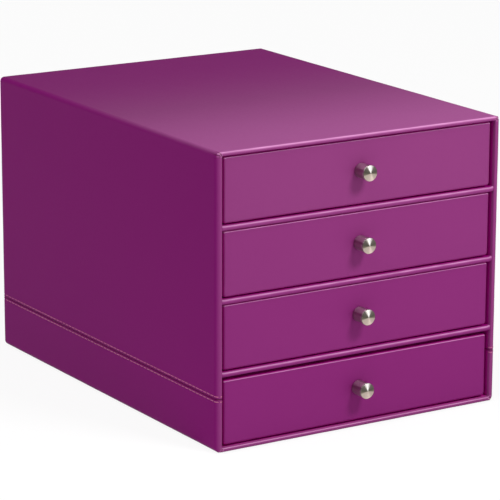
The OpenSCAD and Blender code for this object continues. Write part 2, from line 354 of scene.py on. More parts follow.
def leather_material():
    """Fine-grained smooth leather: cloudy dye, pebbled grain, pores, smoother edges. Painted light: lighter
    dye where the lamps fall, painted edge highlights, painted shade in creases and in the closed gaps."""
    material, tree, shader = new_material("purple_leather")
    place = own_place(tree)
    full_dye = PAINTED_LIGHT_RAMP[0][1]
    # Painted light: the dye is made lighter where the lamps fall more strongly
    colour = ramp(tree, attribute(tree, "painted_light"), PAINTED_LIGHT_RAMP)
    clouds = noise(tree, place, 70 * MM, 4)
    colour = blend(tree, spread(tree, clouds, 0, 0.10), colour, darker(full_dye, 0.85))
    mottle = noise(tree, place, 3.2 * MM, 5, 0.65)
    colour = blend(tree, spread(tree, mottle, 0, 0.10), colour, darker(full_dye, 0.72))
    grain = cells(tree, place, 0.95 * MM)
    pores = noise(tree, place, 0.55 * MM, 2)
    # Painted highlight: a pale pink line on the edges that catch the light
    colour = blend(tree, attribute(tree, "painted_highlight"), colour, (*HIGHLIGHT_DYE, 1))
    # Painted shade: a deeper, more saturated dye deep in the closed gaps, where other pieces are near
    openness = node(tree, "AmbientOcclusion", {"samples": 4}, Distance=CLOSED_IN).outputs["AO"]
    gap_shade = maths(tree, "MULTIPLY", attribute(tree, "gap_shade"), spread_from(tree, openness, 0.75, 0.35))
    colour = blend(tree, gap_shade, colour, (*GAP_SHADE_DYE, 1))
    # Painted shade: dark dye in the creases, the seam's groove and where pieces meet
    colour = blend(tree, attribute(tree, "crease_shade"), colour, (*CREASE_SHADE_DYE, 1))
    tree.links.new(colour, shader.inputs["Base Color"])
    # Smoother leather where the highlight is painted, so the lamps' own highlights are sharper there too
    glossier_edge = maths(tree, "MULTIPLY", attribute(tree, "painted_highlight"), 0.16)
    roughness = maths(tree, "SUBTRACT", spread(tree, mottle, 0.44, 0.54), glossier_edge)
    tree.links.new(roughness, shader.inputs["Roughness"])
    shader.inputs["Specular IOR Level"].default_value = 0.05
    shader.inputs["Specular Tint"].default_value = (1.0, 0.55, 0.88, 1)
    height = maths(tree, "ADD", maths(tree, "MULTIPLY", grain, 0.8), maths(tree, "MULTIPLY", pores, 0.35))
    bump(tree, shader, height, 0.05 * MM, 0.35)
    return material


def thread_material():
    """Two-ply sewing thread, coral, with fibres along the twist."""
    material, tree, shader = new_material("coral_thread")
    place = own_place(tree)
    fibres = noise(tree, place, 0.16 * MM, 3)
    colour = ramp(tree, fibres, [(0.3, (0.33, 0.055, 0.15)), (0.75, (0.52, 0.12, 0.26))])
    tree.links.new(colour, shader.inputs["Base Color"])
    tree.links.new(spread(tree, fibres, 0.5, 0.75), shader.inputs["Roughness"])
    shader.inputs["Sheen Weight"].default_value = 0.2
    bump(tree, shader, fibres, 0.04 * MM, 0.6)
    return material


def board_material():
    """Plain fibreboard: pressed fibres, light and dark specks."""
    material, tree, shader = new_material("fibreboard")
    place = own_place(tree)
    fibres = noise(tree, place, 1.1 * MM, 6, 0.7)
    specks = cells(tree, place, 0.8 * MM, "F1")
    colour = ramp(tree, fibres, [
        (0.3, (0.30, 0.22, 0.14)),
        (0.5, (0.43, 0.33, 0.22)),
        (0.75, (0.52, 0.42, 0.30)),
    ])
    colour = blend(tree, spread(tree, specks, 0.18, 0), colour, (0.17, 0.11, 0.07, 1))
    tree.links.new(colour, shader.inputs["Base Color"])
    tree.links.new(spread(tree, fibres, 0.68, 0.85), shader.inputs["Roughness"])
    bump(tree, shader, fibres, 0.06 * MM, 0.5)
    return material


def lining_material():
    """Short-napped suede cloth, dark plum, with the nap brushed in patches."""
    material, tree, shader = new_material("plum_suede")
    place = own_place(tree)
    nap = noise(tree, place, 0.35 * MM, 3, 0.7)
    brushed = noise(tree, place, 26 * MM, 3)
    colour = ramp(tree, brushed, [(0.35, (0.046, 0.012, 0.036)), (0.65, (0.078, 0.020, 0.062))])
    colour = blend(tree, spread(tree, nap, 0, 0.5), colour, (0.030, 0.008, 0.024, 1))
    tree.links.new(colour, shader.inputs["Base Color"])
    shader.inputs["Roughness"].default_value = 0.9
    shader.inputs["Sheen Weight"].default_value = 0.45
    shader.inputs["Sheen Roughness"].default_value = 0.4
    shader.inputs["Sheen Tint"].default_value = (0.85, 0.55, 0.80, 1)
    shader.inputs["Specular IOR Level"].default_value = 0.15
    bump(tree, shader, nap, 0.12 * MM, 0.7)
    return material


def felt_material():
    """Pressed felt, near black, with lighter fibres."""
    material, tree, shader = new_material("dark_felt")
    place = own_place(tree)
    fibres = noise(tree, place, 0.7 * MM, 8, 0.8)
    colour = ramp(tree, fibres, [(0.35, (0.012, 0.010, 0.014)), (0.7, (0.05, 0.042, 0.055))])
    tree.links.new(colour, shader.inputs["Base Color"])
    shader.inputs["Roughness"].default_value = 0.95
    shader.inputs["Sheen Weight"].default_value = 0.3
    bump(tree, shader, fibres, 0.25 * MM, 0.8)
    return material


def knob_material():
    """Turned and brushed steel with fine rings round the axis. Painted reflections: light and dark sectors
    on the head's face, and a plum tint on the drum for the purple leather it reflects."""
    material, tree, shader = new_material("brushed_steel")
    centred = node(tree, "VectorMath", {"operation": "SUBTRACT"})
    tree.links.new(node(tree, "TexCoord").outputs["Generated"], centred.inputs[0])
    centred.inputs[1].default_value = (0.5, 0, 0.5)
    parts = node(tree, "SeparateXYZ", Vector=centred.outputs[0])
    x_squared = maths(tree, "POWER", parts.outputs["X"], 2.0)
    z_squared = maths(tree, "POWER", parts.outputs["Z"], 2.0)
    from_axis = maths(tree, "SQRT", maths(tree, "ADD", x_squared, z_squared))
    ring_x = maths(tree, "MULTIPLY", from_axis, 90.0)
    ring_y = maths(tree, "MULTIPLY", parts.outputs["Y"], 90.0)
    ring_place = node(tree, "CombineXYZ", X=ring_x, Y=ring_y).outputs[0]
    rings = noise(tree, ring_place, 1.0, 3.0, 0.7)
    smudge = noise(tree, own_place(tree), 5 * MM, 3)
    # Painted reflection: light and dark sectors on the head's face, set by the angle round the axis: white
    # at the top, dark at the sides, light below
    upright = maths(tree, "DIVIDE", parts.outputs["Z"], maths(tree, "MAXIMUM", from_axis, 0.02))
    face = ramp(tree, spread_from(tree, upright, -1, 1), [
        (0, (0.66, 0.53, 0.46)),
        (0.34, (0.62, 0.52, 0.43)),
        (0.46, (0.17, 0.14, 0.10)),
        (0.62, (0.09, 0.08, 0.06)),
        (0.91, (0.17, 0.15, 0.13)),
        (0.985, (0.62, 0.58, 0.55)),
        (1, (0.90, 0.88, 0.85)),
    ])
    # Y runs from 0 at the tip of the knob to 1 at its foot
    on_face = maths(tree, "LESS_THAN", parts.outputs["Y"], 0.056)
    on_head = maths(tree, "LESS_THAN", parts.outputs["Y"], 0.19)
    # Painted reflection: the drum's plum colour stands in for the purple leather it reflects
    colour = blend(tree, on_head, (0.48, 0.22, 0.37, 1), (0.50, 0.47, 0.43, 1))
    colour = blend(tree, on_face, colour, face)
    colour = blend(tree, spread(tree, rings, 0, 0.5), colour, (0.12, 0.11, 0.10, 1))
    tree.links.new(colour, shader.inputs["Base Color"])
    shader.inputs["Metallic"].default_value = 1.0
    rough = maths(tree, "ADD", spread(tree, rings, 0.26, 0.38), maths(tree, "MULTIPLY", smudge, 0.06))
    tree.links.new(rough, shader.inputs["Roughness"])
    shader.inputs["Anisotropic"].default_value = 0.9
    shader.inputs["Anisotropic Rotation"].default_value = 0.25
    tangent = node(tree, "Tangent", {"direction_type": "RADIAL", "axis": "Y"})
    tree.links.new(tangent.outputs["Tangent"], shader.inputs["Tangent"])
    bump(tree, shader, rings, 0.008 * MM, 0.5)
    return material


def zinc_material():
    """Zinc-plated steel with a faint mottle."""
    material, tree, shader = new_material("zinc_plate")
    place = own_place(tree)
    mottle = noise(tree, place, 1.5 * MM, 4)
    colour = ramp(tree, mottle, [(0.3, (0.42, 0.45, 0.48)), (0.7, (0.58, 0.59, 0.56))])
    tree.links.new(colour, shader.inputs["Base Color"])
    shader.inputs["Metallic"].default_value = 1.0
    tree.links.new(spread(tree, mottle, 0.28, 0.42), shader.inputs["Roughness"])
    bump(tree, shader, mottle, 0.02 * MM, 0.4)
    return material


MATERIALS = {
    "leather": leather_material(),
    "thread": thread_material(),
    "board": board_material(),
    "lining": lining_material(),
    "felt": felt_material(),
    "knob_steel": knob_material(),
    "screw_steel": zinc_material(),
}


# ---- Leather of the cabinet ----

def fold_profile(places):
    """Height of the creases at the four front corners, and how far each place is in a crease or on
    the puffed leather beside one."""
    height = np.zeros(len(places))
    crease_shade = np.zeros(len(places))
    puffed_up = np.zeros(len(places))
    for (side, cap), folds in FOLDS.items():
        corner_z = CEILING if cap > 0 else FLOOR
        out_x = places[:, 0] * side - INNER_X
        out_z = (places[:, 2] - corner_z) * cap
        distance = np.hypot(out_x, out_z)
        behind = np.maximum(0, places[:, 1] - FRONT - 2.5 * MM)
        near_corner = ease(distance / (1.0 * MM)) * ease((FOLD_REACH - distance) / (4 * MM))
        fade = near_corner * np.exp(-behind / (4 * MM))
        for degrees, depth, width, puffed in folds:
            a = math.radians(degrees)
            along = out_x * math.cos(a) + out_z * math.sin(a)
            across = out_z * math.cos(a) - out_x * math.sin(a)
            here = fade * (along > 0)
            line = bell(across, width) * here
            puff = bell(across - 2.0 * width * puffed, 1.7 * width) * here
            height += depth * (0.45 * puff - line)
            strength = min(1.0, depth / (0.45 * MM))
            crease_shade = np.maximum(crease_shade, line * strength)
            puffed_up = np.maximum(puffed_up, puff * strength)
    return height, crease_shade, puffed_up


def seam_profile(z):
    """Height of the leather near the seam: its edge rolls in, and the stitches pull it down."""
    away = np.abs(z - SEAM)
    roll = SEAM_ROLL * (1 - np.sqrt(1 - np.clip(1 - away / SEAM_ROLL_W, 0, 1) ** 2))
    pull = STITCH_PULL * bell(away - STITCH_OFFSET, 0.5 * MM)
    puff = SEAM_PUFF * bell(away - 1.2 * MM, 0.5 * MM)
    return puff - roll - pull


def shell_height(places, _normals):
    on_rim = ease((FRONT + 4 * MM - places[:, 1]) / (2 * MM))
    return (
        fold_profile(places)[0]
        + seam_profile(places[:, 2])
        + 0.05 * MM * ripple(places, 45 * MM, 1)
        + 0.035 * MM * on_rim * ripple(places, 11 * MM, 2)
    )


def shell_rows(cap_t):
    """Rows of the sheet from its turned edge on the back, over the outside and the front rim, into
    the cabinet. Each has its inset on the sides and on the cap, its corner radius, and its Y on the
    sides and on the cap."""
    rows = []
    least_r = 0.3 * MM
    for inset in (BACK_TURN, BACK_TURN - 0.4 * MM, 7.4 * MM, 6.2 * MM, 5 * MM):
        rows.append((inset, inset, least_r, BACK, BACK))
    for turn in np.radians(np.linspace(90, 0, 11)):
        inset = EDGE_R * (1 - math.cos(turn))
        y = BACK - EDGE_R * (1 - math.sin(turn))
        rows.append((inset, inset, max(EDGE_R - inset, least_r), y, y))
    depth = BACK - FRONT - 2 * EDGE_R
    for share in spaced(depth, 4 * MM, 2 * MM, 6 * MM, 14 * MM, 1.2 * MM)[1:-1]:
        y = BACK - EDGE_R - share * depth
        rows.append((0, 0, EDGE_R, y, y))
    rim = []
    for turn in np.radians(np.linspace(0, 90, 19)):
        out, back = 1 - math.cos(turn), 1 - math.sin(turn)
        rim.append((EDGE_R * out, CAP_EDGE_R * out, EDGE_R * back, CAP_EDGE_R * back))
    for turn in np.radians(np.linspace(90, 0, 11)):
        out, back = RIM_R * (1 - math.cos(turn)), RIM_R * (1 - math.sin(turn))
        rim.append((SIDE_T - out, cap_t - out, back, back))
    for inset_x, inset_z, side_back, cap_back in rim:
        radius = EDGE_R + (INNER_CORNER_R - EDGE_R) * inset_z / cap_t
        rows.append((inset_x, inset_z, radius, FRONT + side_back, FRONT + cap_back))
    for y in np.linspace(FRONT + 2.5 * MM, FRONT + TURN_IN - 0.2 * MM, 7):
        rows.append((SIDE_T, cap_t, INNER_CORNER_R, y, y))
    return rows


def leather_shell(name, cap_z, cap_inner_z, node_name):
    """One of the two big hides: a cap, the top or the bottom, and both sides as far as the seam."""
    up = 1 if cap_z > SEAM else -1
    cap_t = abs(cap_z - cap_inner_z)
    leg = spaced(abs(cap_z - SEAM), 3.6 * MM, 0.2 * MM, 3.6 * MM, 6 * MM, 0.4 * MM)
    cap = spaced(RIGHT - LEFT, 6 * MM, 0.4 * MM, 3.2 * MM, 6 * MM, 0.4 * MM)
    arc = np.radians(np.linspace(0, 90, 37))[1:-1]
    capped = np.concatenate([0 * leg, np.sin(arc) ** 2, 1 + 0 * cap, np.sin(arc[::-1]) ** 2, 0 * leg])
    edge_z = SEAM + up * 0.04 * MM
    grid = []
    for inset_x, inset_z, radius, side_y, cap_y in shell_rows(cap_t):
        turn_z = cap_z - up * (inset_z + radius)
        leg_z = edge_z + leg * (turn_z - edge_z)
        arc_x = radius * (1 - np.cos(arc))
        arc_z = turn_z + up * radius * np.sin(arc)
        left, right = LEFT + inset_x, RIGHT - inset_x
        cap_x = left + radius + cap * (right - left - 2 * radius)
        x = np.concatenate([0 * leg + left, left + arc_x, cap_x, (right - arc_x)[::-1], 0 * leg + right])
        z = np.concatenate([leg_z, arc_z, 0 * cap + cap_z - up * inset_z, arc_z[::-1], leg_z[::-1]])
        grid.append(np.stack([x, side_y + (cap_y - side_y) * capped, z], axis=1))
    faces = grid_faces(len(grid), len(capped), flip=up > 0)
    piece = make_piece(name, grid, faces, MATERIALS["leather"])
    paint_leather(piece)
    push(piece, shell_height)
    thicken(piece, SKIN_T)
    settle(piece, "cabinet", "leather", node_name)


def paint_leather(piece):
    """Marks where a hide gets painted shade in its creases, its seam groove and deep in the closed gaps,
    painted light where the lamps fall more strongly, and painted highlights on its edges.
    """
    places, normals = read_points(piece.data)
    crease_shade, puffed_up = fold_profile(places)[1:]
    # Painted shade: darker in the fold creases and in the seam's groove
    groove = bell(np.abs(places[:, 2] - SEAM), SEAM_ROLL_W)
    paint(piece, "crease_shade", 0.8 * np.maximum(crease_shade, groove))
    behind = places[:, 1] - FRONT
    middle_z, half_z = (CEILING + FLOOR) / 2, (CEILING - FLOOR) / 2
    between_sides = np.abs(places[:, 0]) < INNER_X + 0.3 * MM
    between_caps = np.abs(places[:, 2] - middle_z) < half_z + 0.3 * MM
    inside = between_sides * between_caps * (behind < TURN_IN)
    # Painted shade: deeper dye inside the opening, away from its front edge
    paint(piece, "gap_shade", inside * ease((behind - 2.0 * MM) / (1.5 * MM)))
    upward, forward = np.clip(normals[:, 2], 0, 1), np.clip(-normals[:, 1], 0, 1)
    # Painted light: the top lighter towards the front, and the rim's front as light as the top drawer
    to_front = ease((BACK - places[:, 1]) / (BACK - FRONT))
    top_painted_light = upward ** 2 * (0.08 + 0.92 * to_front ** 1.4)
    paint(piece, "painted_light", np.maximum(top_painted_light, FRONT_PAINTED_LIGHT[0] * forward ** 2))
    # Painted highlights: a pale line along the rim's upper front edges, the rim's inner flanks made lighter
    # as if lit, and the puffs beside the corner creases
    rim = ease((FRONT + 2.5 * MM - places[:, 1]) / (1.5 * MM))
    highlight_band = bell(np.degrees(np.arctan2(upward, forward)) - 50, 26) * (upward > 0) * (forward > 0)
    flank = inside * (1 - forward) * (np.abs(places[:, 0]) > INNER_X - 0.5 * MM)
    paint(piece, "painted_highlight", np.maximum.reduce([
        rim * highlight_band * (0.85 + 0.15 * ripple(places, 23 * MM, 5)),
        0.2 * flank * ease((4.5 * MM - behind) / (3 * MM)),
        0.5 * puffed_up * rim,
    ]))


def shelf_leather(n):
    """Leather round a shelf: top, nose and underside, puffed up where it meets the sides."""
    low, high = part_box(f"shelf_{n}_cover")
    half_t = (high.z - low.z) / 2
    middle_z = (high.z + low.z) / 2

    def half_profile(puff):
        """Y and height of one side of the shelf, from its back to the middle of its nose."""
        half = [(y, half_t) for y in (high.y, high.y - 60 * MM, low.y + 30 * MM, low.y + 6 * MM)]
        half += [(low.y + 5 * MM, half_t + 0.15 * puff), (low.y + 3.5 * MM, half_t + 0.7 * puff)]
        for turn in np.radians(np.linspace(0, 90, 13)):
            z = half_t + puff - NOSE_R * (1 - math.cos(turn))
            half.append((low.y + NOSE_R * (1 - math.sin(turn)), z))
        return half

    profile = half_profile(NOSE_PUFF_UP) + [(y, -z) for y, z in half_profile(NOSE_PUFF_DOWN)[::-1]]
    across = spaced(high.x - low.x, 4 * MM, 0.3 * MM, 3 * MM, 4 * MM, 0.3 * MM)
    x = low.x + across * (high.x - low.x)
    side = np.sign(x)
    near_end = ease(1 - (high.x - np.abs(x)) / (2.8 * MM))
    flare = np.where(side < 0, SHELF_FLARE[-1], SHELF_FLARE[1]) * near_end
    grid = []
    for y, z in profile:
        nose = ease((low.y + 7 * MM - y) / (4 * MM))
        lift = flare * nose * (0.35 + 0.65 * max(0.0, z / half_t))
        reach = side * near_end ** 4 * MM * ease((low.y + 3 * MM - y) / (2 * MM))
        grid.append(np.stack([x + reach, 0 * x + y - 0.4 * flare * nose, middle_z + z + lift], axis=1))
    faces = grid_faces(len(grid), len(x), flip=True)
    piece = make_piece(f"shelf_{n}_leather", grid, faces, MATERIALS["leather"])
    places, normals = read_points(piece.data)
    behind = places[:, 1] - low.y
    nose = ease((2.2 * MM - behind) / (0.8 * MM))
    # Painted shade: darker where the shelf meets the sides
    paint(piece, "crease_shade", 0.6 * ease(1 - (high.x - np.abs(places[:, 0])) / (0.7 * MM)))
    # Painted shade: deeper dye behind the nose, in the closed gap
    paint(piece, "gap_shade", (1 - nose) * ease((16 * MM - behind) / (8 * MM)))
    # Painted light: each nose as light as the lamps make it at its height
    paint(piece, "painted_light", nose * FRONT_PAINTED_LIGHT[n])
    # Painted highlight: a pale band on the upper curve of the nose
    lean = np.degrees(np.arctan2(normals[:, 2], -normals[:, 1]))
    paint(piece, "painted_highlight", 0.85 * nose * bell(lean - 42, 24) * (0.8 + 0.2 * ripple(places, 19 * MM, 20 + n)))

    def height(places, _normals):
        return 0.04 * MM * ripple(places, 13 * MM, 30 + n) + 0.03 * MM * ripple(places, 60 * MM, 40 + n)

    push(piece, height)
    thicken(piece, SKIN_T)
    settle(piece, "cabinet", "leather", f"shelf_{n}_cover")


# ---- Soft-edged panels: the drawer fronts and the back ----

def panel_loop(low, high, inset, radii, along_x, along_z, arcs, shares=(1, 1, 1)):
    """Closed outline of an upright panel, as X and Z, from its bottom left corner anticlockwise.
    shares holds how much of the inset its sides, its bottom and its top take."""
    side, bottom, top = (inset * share for share in shares)
    x0, x1, z0, z1 = low.x + side, high.x - side, low.z + bottom, high.z - top
    bl, br, tr, tl = radii
    sides = [
        (x0 + bl + along_x * (x1 - x0 - bl - br), 0 * along_x + z0),
        (0 * along_z + x1, z0 + br + along_z * (z1 - z0 - br - tr)),
        (x1 - tr - along_x * (x1 - x0 - tr - tl), 0 * along_x + z1),
        (0 * along_z + x0, z1 - tl - along_z * (z1 - z0 - tl - bl)),
    ]
    centres = [
        (x1 - br, z0 + br, br, -90),
        (x1 - tr, z1 - tr, tr, 0),
        (x0 + tl, z1 - tl, tl, 90),
        (x0 + bl, z0 + bl, bl, 180),
    ]
    xs, zs = [], []
    for (x, z), (cx, cz, r, start) in zip(sides, centres):
        turn = np.radians(start) + arcs
        xs += [x, cx + r * np.cos(turn)]
        zs += [z, cz + r * np.sin(turn)]
    return np.concatenate(xs), np.concatenate(zs)


def soft_panel(name, low, high, corners, rows, join_inset, facing, material, shares=(1, 1, 1)):
    """A leather-covered upright panel. rows holds (inset, distance behind the face), from the edge
    that is glued down behind to the face, and facing is -1 for a panel that looks towards -Y."""
    face_y = low.y if facing < 0 else high.y
    along_x = spaced(high.x - low.x, 12 * MM, 1.5 * MM, 4 * MM, 12 * MM, 1.5 * MM)
    along_z = spaced(high.z - low.z, 12 * MM, 1.5 * MM, 4 * MM, 12 * MM, 1.5 * MM)
    arcs = np.radians(np.linspace(0, 90, 11))[1:-1]
    grid = []
    for inset, behind in rows + [(join_inset, 0)]:
        radii = [r * (1 - inset / join_inset) if inset < join_inset else 0 for r in corners]
        x, z = panel_loop(low, high, inset, radii, along_x, along_z, arcs, shares)
        grid.append(np.stack([x, 0 * x + face_y - facing * behind, z], axis=1))
    rim = len(grid) * len(grid[0])
    faces = grid_faces(len(grid), len(grid[0]), closed=True, flip=facing > 0)
    side, bottom, top = (join_inset * share for share in shares)
    x = low.x + side + along_x * (high.x - low.x - 2 * side)
    z = low.z + bottom + along_z * (high.z - low.z - bottom - top)
    flat_x, flat_z = np.meshgrid(x, z)
    face = np.stack([flat_x, 0 * flat_x + face_y, flat_z], axis=2).reshape(-1, 3)
    faces += grid_faces(len(z), len(x), flip=facing > 0, start=rim)
    points = np.concatenate([np.concatenate(grid), face])
    return make_piece(name, points, faces, material, weld=True)


def front_leather(n):
    """Leather over a drawer front, with soft edges, turned over onto the back of its board."""
    low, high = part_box(f"drawer_{n}_front_cover")
    thick = high.y - low.y
    rows = [(GLUE_TURN, thick + 0.3 * MM), (1.2 * MM, thick + 0.3 * MM)]
    rows += [(0.35 * MM, thick + 0.2 * MM), (0, thick - 0.3 * MM)]
    rows += [(0, depth) for depth in np.linspace(thick - 1.5 * MM, FRONT_EDGE_R + 0.8 * MM, 4)]
    for turn in np.radians(np.linspace(0, 90, 13)):
        rows.append((FRONT_EDGE_R * (1 - math.cos(turn)), FRONT_EDGE_R * (1 - math.sin(turn))))
    rows += [(FRONT_EDGE_R + d, 0) for d in (0.8 * MM, 2 * MM)]
    piece = soft_panel(
        f"drawer_{n}_front_leather", low, high, FRONT_CORNERS, rows, PANEL_JOIN, -1,
        MATERIALS["leather"], FRONT_EDGE_SHARES,
    )
    knob_low, knob_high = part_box(f"drawer_{n}_knob")
    knob_x, knob_z = (knob_low.x + knob_high.x) / 2, (knob_low.z + knob_high.z) / 2

    def height(places, normals):
        from_x = np.minimum(places[:, 0] - low.x, high.x - places[:, 0])
        from_z = np.minimum(places[:, 2] - low.z, high.z - places[:, 2])
        corner = np.hypot(from_x, from_z)
        facing = np.clip(-normals[:, 1], 0, 1)
        pucker = 0.10 * MM * bell(corner - 6.5 * MM, 1.8 * MM) * np.sin(9 * np.arctan2(from_z, from_x))
        edge = np.minimum(from_x, from_z)
        tight = -0.10 * MM * bell(edge - 4.2 * MM, 1.6 * MM)
        pressed = -0.20 * MM * bell(np.hypot(places[:, 0] - knob_x, places[:, 2] - knob_z), 8.5 * MM)
        waves = 0.07 * MM * ripple(places, 48 * MM, 50 + n) + 0.02 * MM * ripple(places, 12 * MM, 60 + n)
        return facing * (pucker + tight + pressed) + waves * (0.3 + 0.7 * facing)

    places, normals = read_points(piece.data)
    upward, forward = np.clip(normals[:, 2], 0, 1), np.clip(-normals[:, 1], 0, 1)
    # Painted highlight: a pale line along the front's top edge, where it faces the lamps
    highlight_band = bell(np.degrees(np.arctan2(upward, forward)) - FRONT_HIGHLIGHT_LEANS[n - 1], 18) * (upward > 0.1)
    from_knob = np.hypot(places[:, 0] - knob_x, places[:, 2] - knob_z)
    behind = places[:, 1] - low.y
    # Painted shade: a dark ring round the knob's foot and darker side edges of the front
    knob_foot_shade = 0.5 * bell(from_knob - 6.4 * MM, 0.6 * MM) * (behind < 0.5 * MM)
    front_side_shade = 0.4 * normals[:, 0] ** 2 * (behind < 3 * MM)
    paint(piece, "crease_shade", np.maximum(knob_foot_shade, front_side_shade))
    # Painted shade: deeper dye on the edges going back into the gaps
    paint(piece, "gap_shade", ease((behind - 0.1 * MM) / (0.6 * MM)) * (1 - highlight_band))
    # Painted light: each front as light as the lamps make it at its height
    paint(piece, "painted_light", np.full(len(places), FRONT_PAINTED_LIGHT[n - 1]))
    # Painted highlight along the top edge
    paint(piece, "painted_highlight", highlight_band * (0.85 + 0.15 * ripple(places, 21 * MM, 70 + n)))
    push(piece, height)
    thicken(piece, SKIN_T)
    settle(piece, f"drawer_{n}", "leather", f"drawer_{n}_front_cover")


def back_leather():
    """Sheet glued over the back, inside the hides' turned edges."""
    low = Vector((LEFT + BACK_TURN + 0.15 * MM, BACK - LEATHER_T, BASE + BACK_TURN + 0.15 * MM))
    high = Vector((RIGHT - BACK_TURN - 0.15 * MM, BACK, TOP - BACK_TURN - 0.15 * MM))
    rows = [(0, 0.55 * MM), (0.02 * MM, 0.35 * MM), (0.12 * MM, 0.14 * MM)]
    rows += [(0.35 * MM, 0.02 * MM), (1.2 * MM, 0)]
    corners = [1.2 * MM] * 4
    piece = soft_panel("back_leather", low, high, corners, rows, 4 * MM, 1, MATERIALS["leather"])
    for name in ("crease_shade", "gap_shade", "painted_light", "painted_highlight"):
        paint(piece, name, np.zeros(len(piece.data.vertices)))
    push(piece, lambda places, normals: 0.06 * MM * ripple(places, 55 * MM, 80))
    thicken(piece, BACK_SKIN_T)
    settle(piece, "cabinet", "leather", "back_cover")


# ---- Stitches ----

def seam_path(distance, side):
    """Place and outward direction at a distance along a stitch row, from the back edge to the front,
    round the rim and back along its inner side."""
    flat = (BACK - EDGE_R) - (FRONT + EDGE_R)
    outer_l = math.pi / 2 * EDGE_R
    face_l = SIDE_T - EDGE_R - RIM_R
    outer = np.clip((distance - flat) / EDGE_R, 0, math.pi / 2)
    across = np.clip(distance - flat - outer_l, 0, face_l)
    inner = np.clip((distance - flat - outer_l - face_l) / RIM_R, 0, math.pi / 2)
    returned = np.maximum(0, distance - flat - outer_l - face_l - math.pi / 2 * RIM_R)
    x = LEFT + EDGE_R * (1 - np.cos(outer)) + across + RIM_R * np.sin(inner)
    y = BACK - EDGE_R - np.minimum(distance, flat) - EDGE_R * np.sin(outer)
    y = y + RIM_R * (1 - np.cos(inner)) + returned
    turn = outer + inner
    return np.stack([x * -side, y], axis=-1), np.stack([np.cos(turn) * side, -np.sin(turn)], axis=-1)


def stitches(side, name, node_name):
    """Both rows of one side's stitches, each a short two-ply thread that dives into the leather."""
    rings, spokes = 13, 8
    straight = (BACK - EDGE_R) - (FRONT + EDGE_R)
    count = int((straight - FIRST_STITCH - STITCH_L / 2) / STITCH_PITCH)
    centres = straight - FIRST_STITCH - STITCH_PITCH * np.arange(-ROUND_STITCHES, count + 1)
    rng = np.random.default_rng(90 + side)
    share = np.linspace(-1, 1, rings)
    angle = np.linspace(0, 2 * math.pi, spokes, endpoint=False)
    points, faces = [], []
    for row in (-1, 1):
        for centre in centres:
            tilt = rng.normal(0, 0.05 * MM)
            length = STITCH_L * rng.uniform(0.94, 1.03)
            place, normal = seam_path(centre + share * length / 2, side)
            lift = STITCH_LIFT - 0.55 * MM * np.abs(share) ** 8
            fat = THREAD_D / 2 * (1 - 0.35 * np.abs(share) ** 6)
            twist = angle[None, :] - share[:, None] * 2 * math.pi
            reach = fat[:, None] * (1 + 0.14 * np.cos(2 * twist))
            out = (lift[:, None] - STITCH_DIP) + reach * np.sin(angle) * 0.85
            x = place[:, 0, None] + normal[:, 0, None] * out
            y = place[:, 1, None] + normal[:, 1, None] * out
            z = SEAM + row * STITCH_OFFSET + tilt * share[:, None] + reach * np.cos(angle)
            start = len(points) * rings * spokes
            faces += grid_faces(rings, spokes, closed=True, flip=side > 0, start=start)
            points.append(np.stack([x, y, z], axis=2).reshape(-1, 3))
    piece = make_piece(name, np.concatenate(points), faces, MATERIALS["thread"])
    settle(piece, "cabinet", "thread", node_name)


# ---- Knobs ----

def knob(n):
    """Turned knob: a drum, a groove, and a wider head with a flat cone on its face."""
    low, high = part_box(f"drawer_{n}_knob")
    centre_x, centre_z = (low.x + high.x) / 2, (low.z + high.z) / 2
    head_r = (high.x - low.x) / 2
    length = high.y - low.y
    body_r = head_r - KNOB_BODY_INSET
    rim_l = length - KNOB_CONE
    head_l = rim_l - KNOB_HEAD_L
    soft = KNOB_SOFT
    profile = [
        (-0.3 * MM, body_r - 0.3 * MM),
        (0.05 * MM, body_r - 0.25 * MM),
        (0.2 * MM, body_r - 0.06 * MM),
        (0.4 * MM, body_r),
    ]
    profile += [(h, body_r) for h in np.linspace(1 * MM, head_l - 1.2 * MM, 12)]
    profile += [
        (head_l - 0.62 * MM, body_r),
        (head_l - 0.52 * MM, body_r - 0.1 * MM),
        (head_l - KNOB_GROOVE, body_r - KNOB_GROOVE),
        (head_l - 0.02 * MM, body_r - KNOB_GROOVE),
        (head_l, head_r - soft),
        (head_l + 0.07 * MM, head_r - 0.06 * MM),
        (head_l + soft, head_r),
        (rim_l - soft, head_r),
        (rim_l - 0.07 * MM, head_r - 0.06 * MM),
        (rim_l, head_r - soft),
    ]
    flat_r = head_r - soft - 0.1 * MM
    for r in np.linspace(flat_r, 0.15 * MM, 26):
        profile.append((rim_l + KNOB_CONE * (1 - r / flat_r) * 0.97, r))
    profile.append((length, 0.0001 * MM))
    turn = np.linspace(0, 2 * math.pi, 96, endpoint=False)
    grid = [
        np.stack([centre_x + r * np.cos(turn), 0 * turn + high.y - h, centre_z + r * np.sin(turn)], axis=1)
        for h, r in profile
    ]
    faces = grid_faces(len(grid), len(turn), closed=True)
    piece = make_piece(f"drawer_{n}_turned_knob", grid, faces, MATERIALS["knob_steel"])
    piece.data.set_sharp_from_angle(angle=math.radians(40))
    settle(piece, f"drawer_{n}", "knob_steel", f"drawer_{n}_knob")


# ---- Tray linings ----

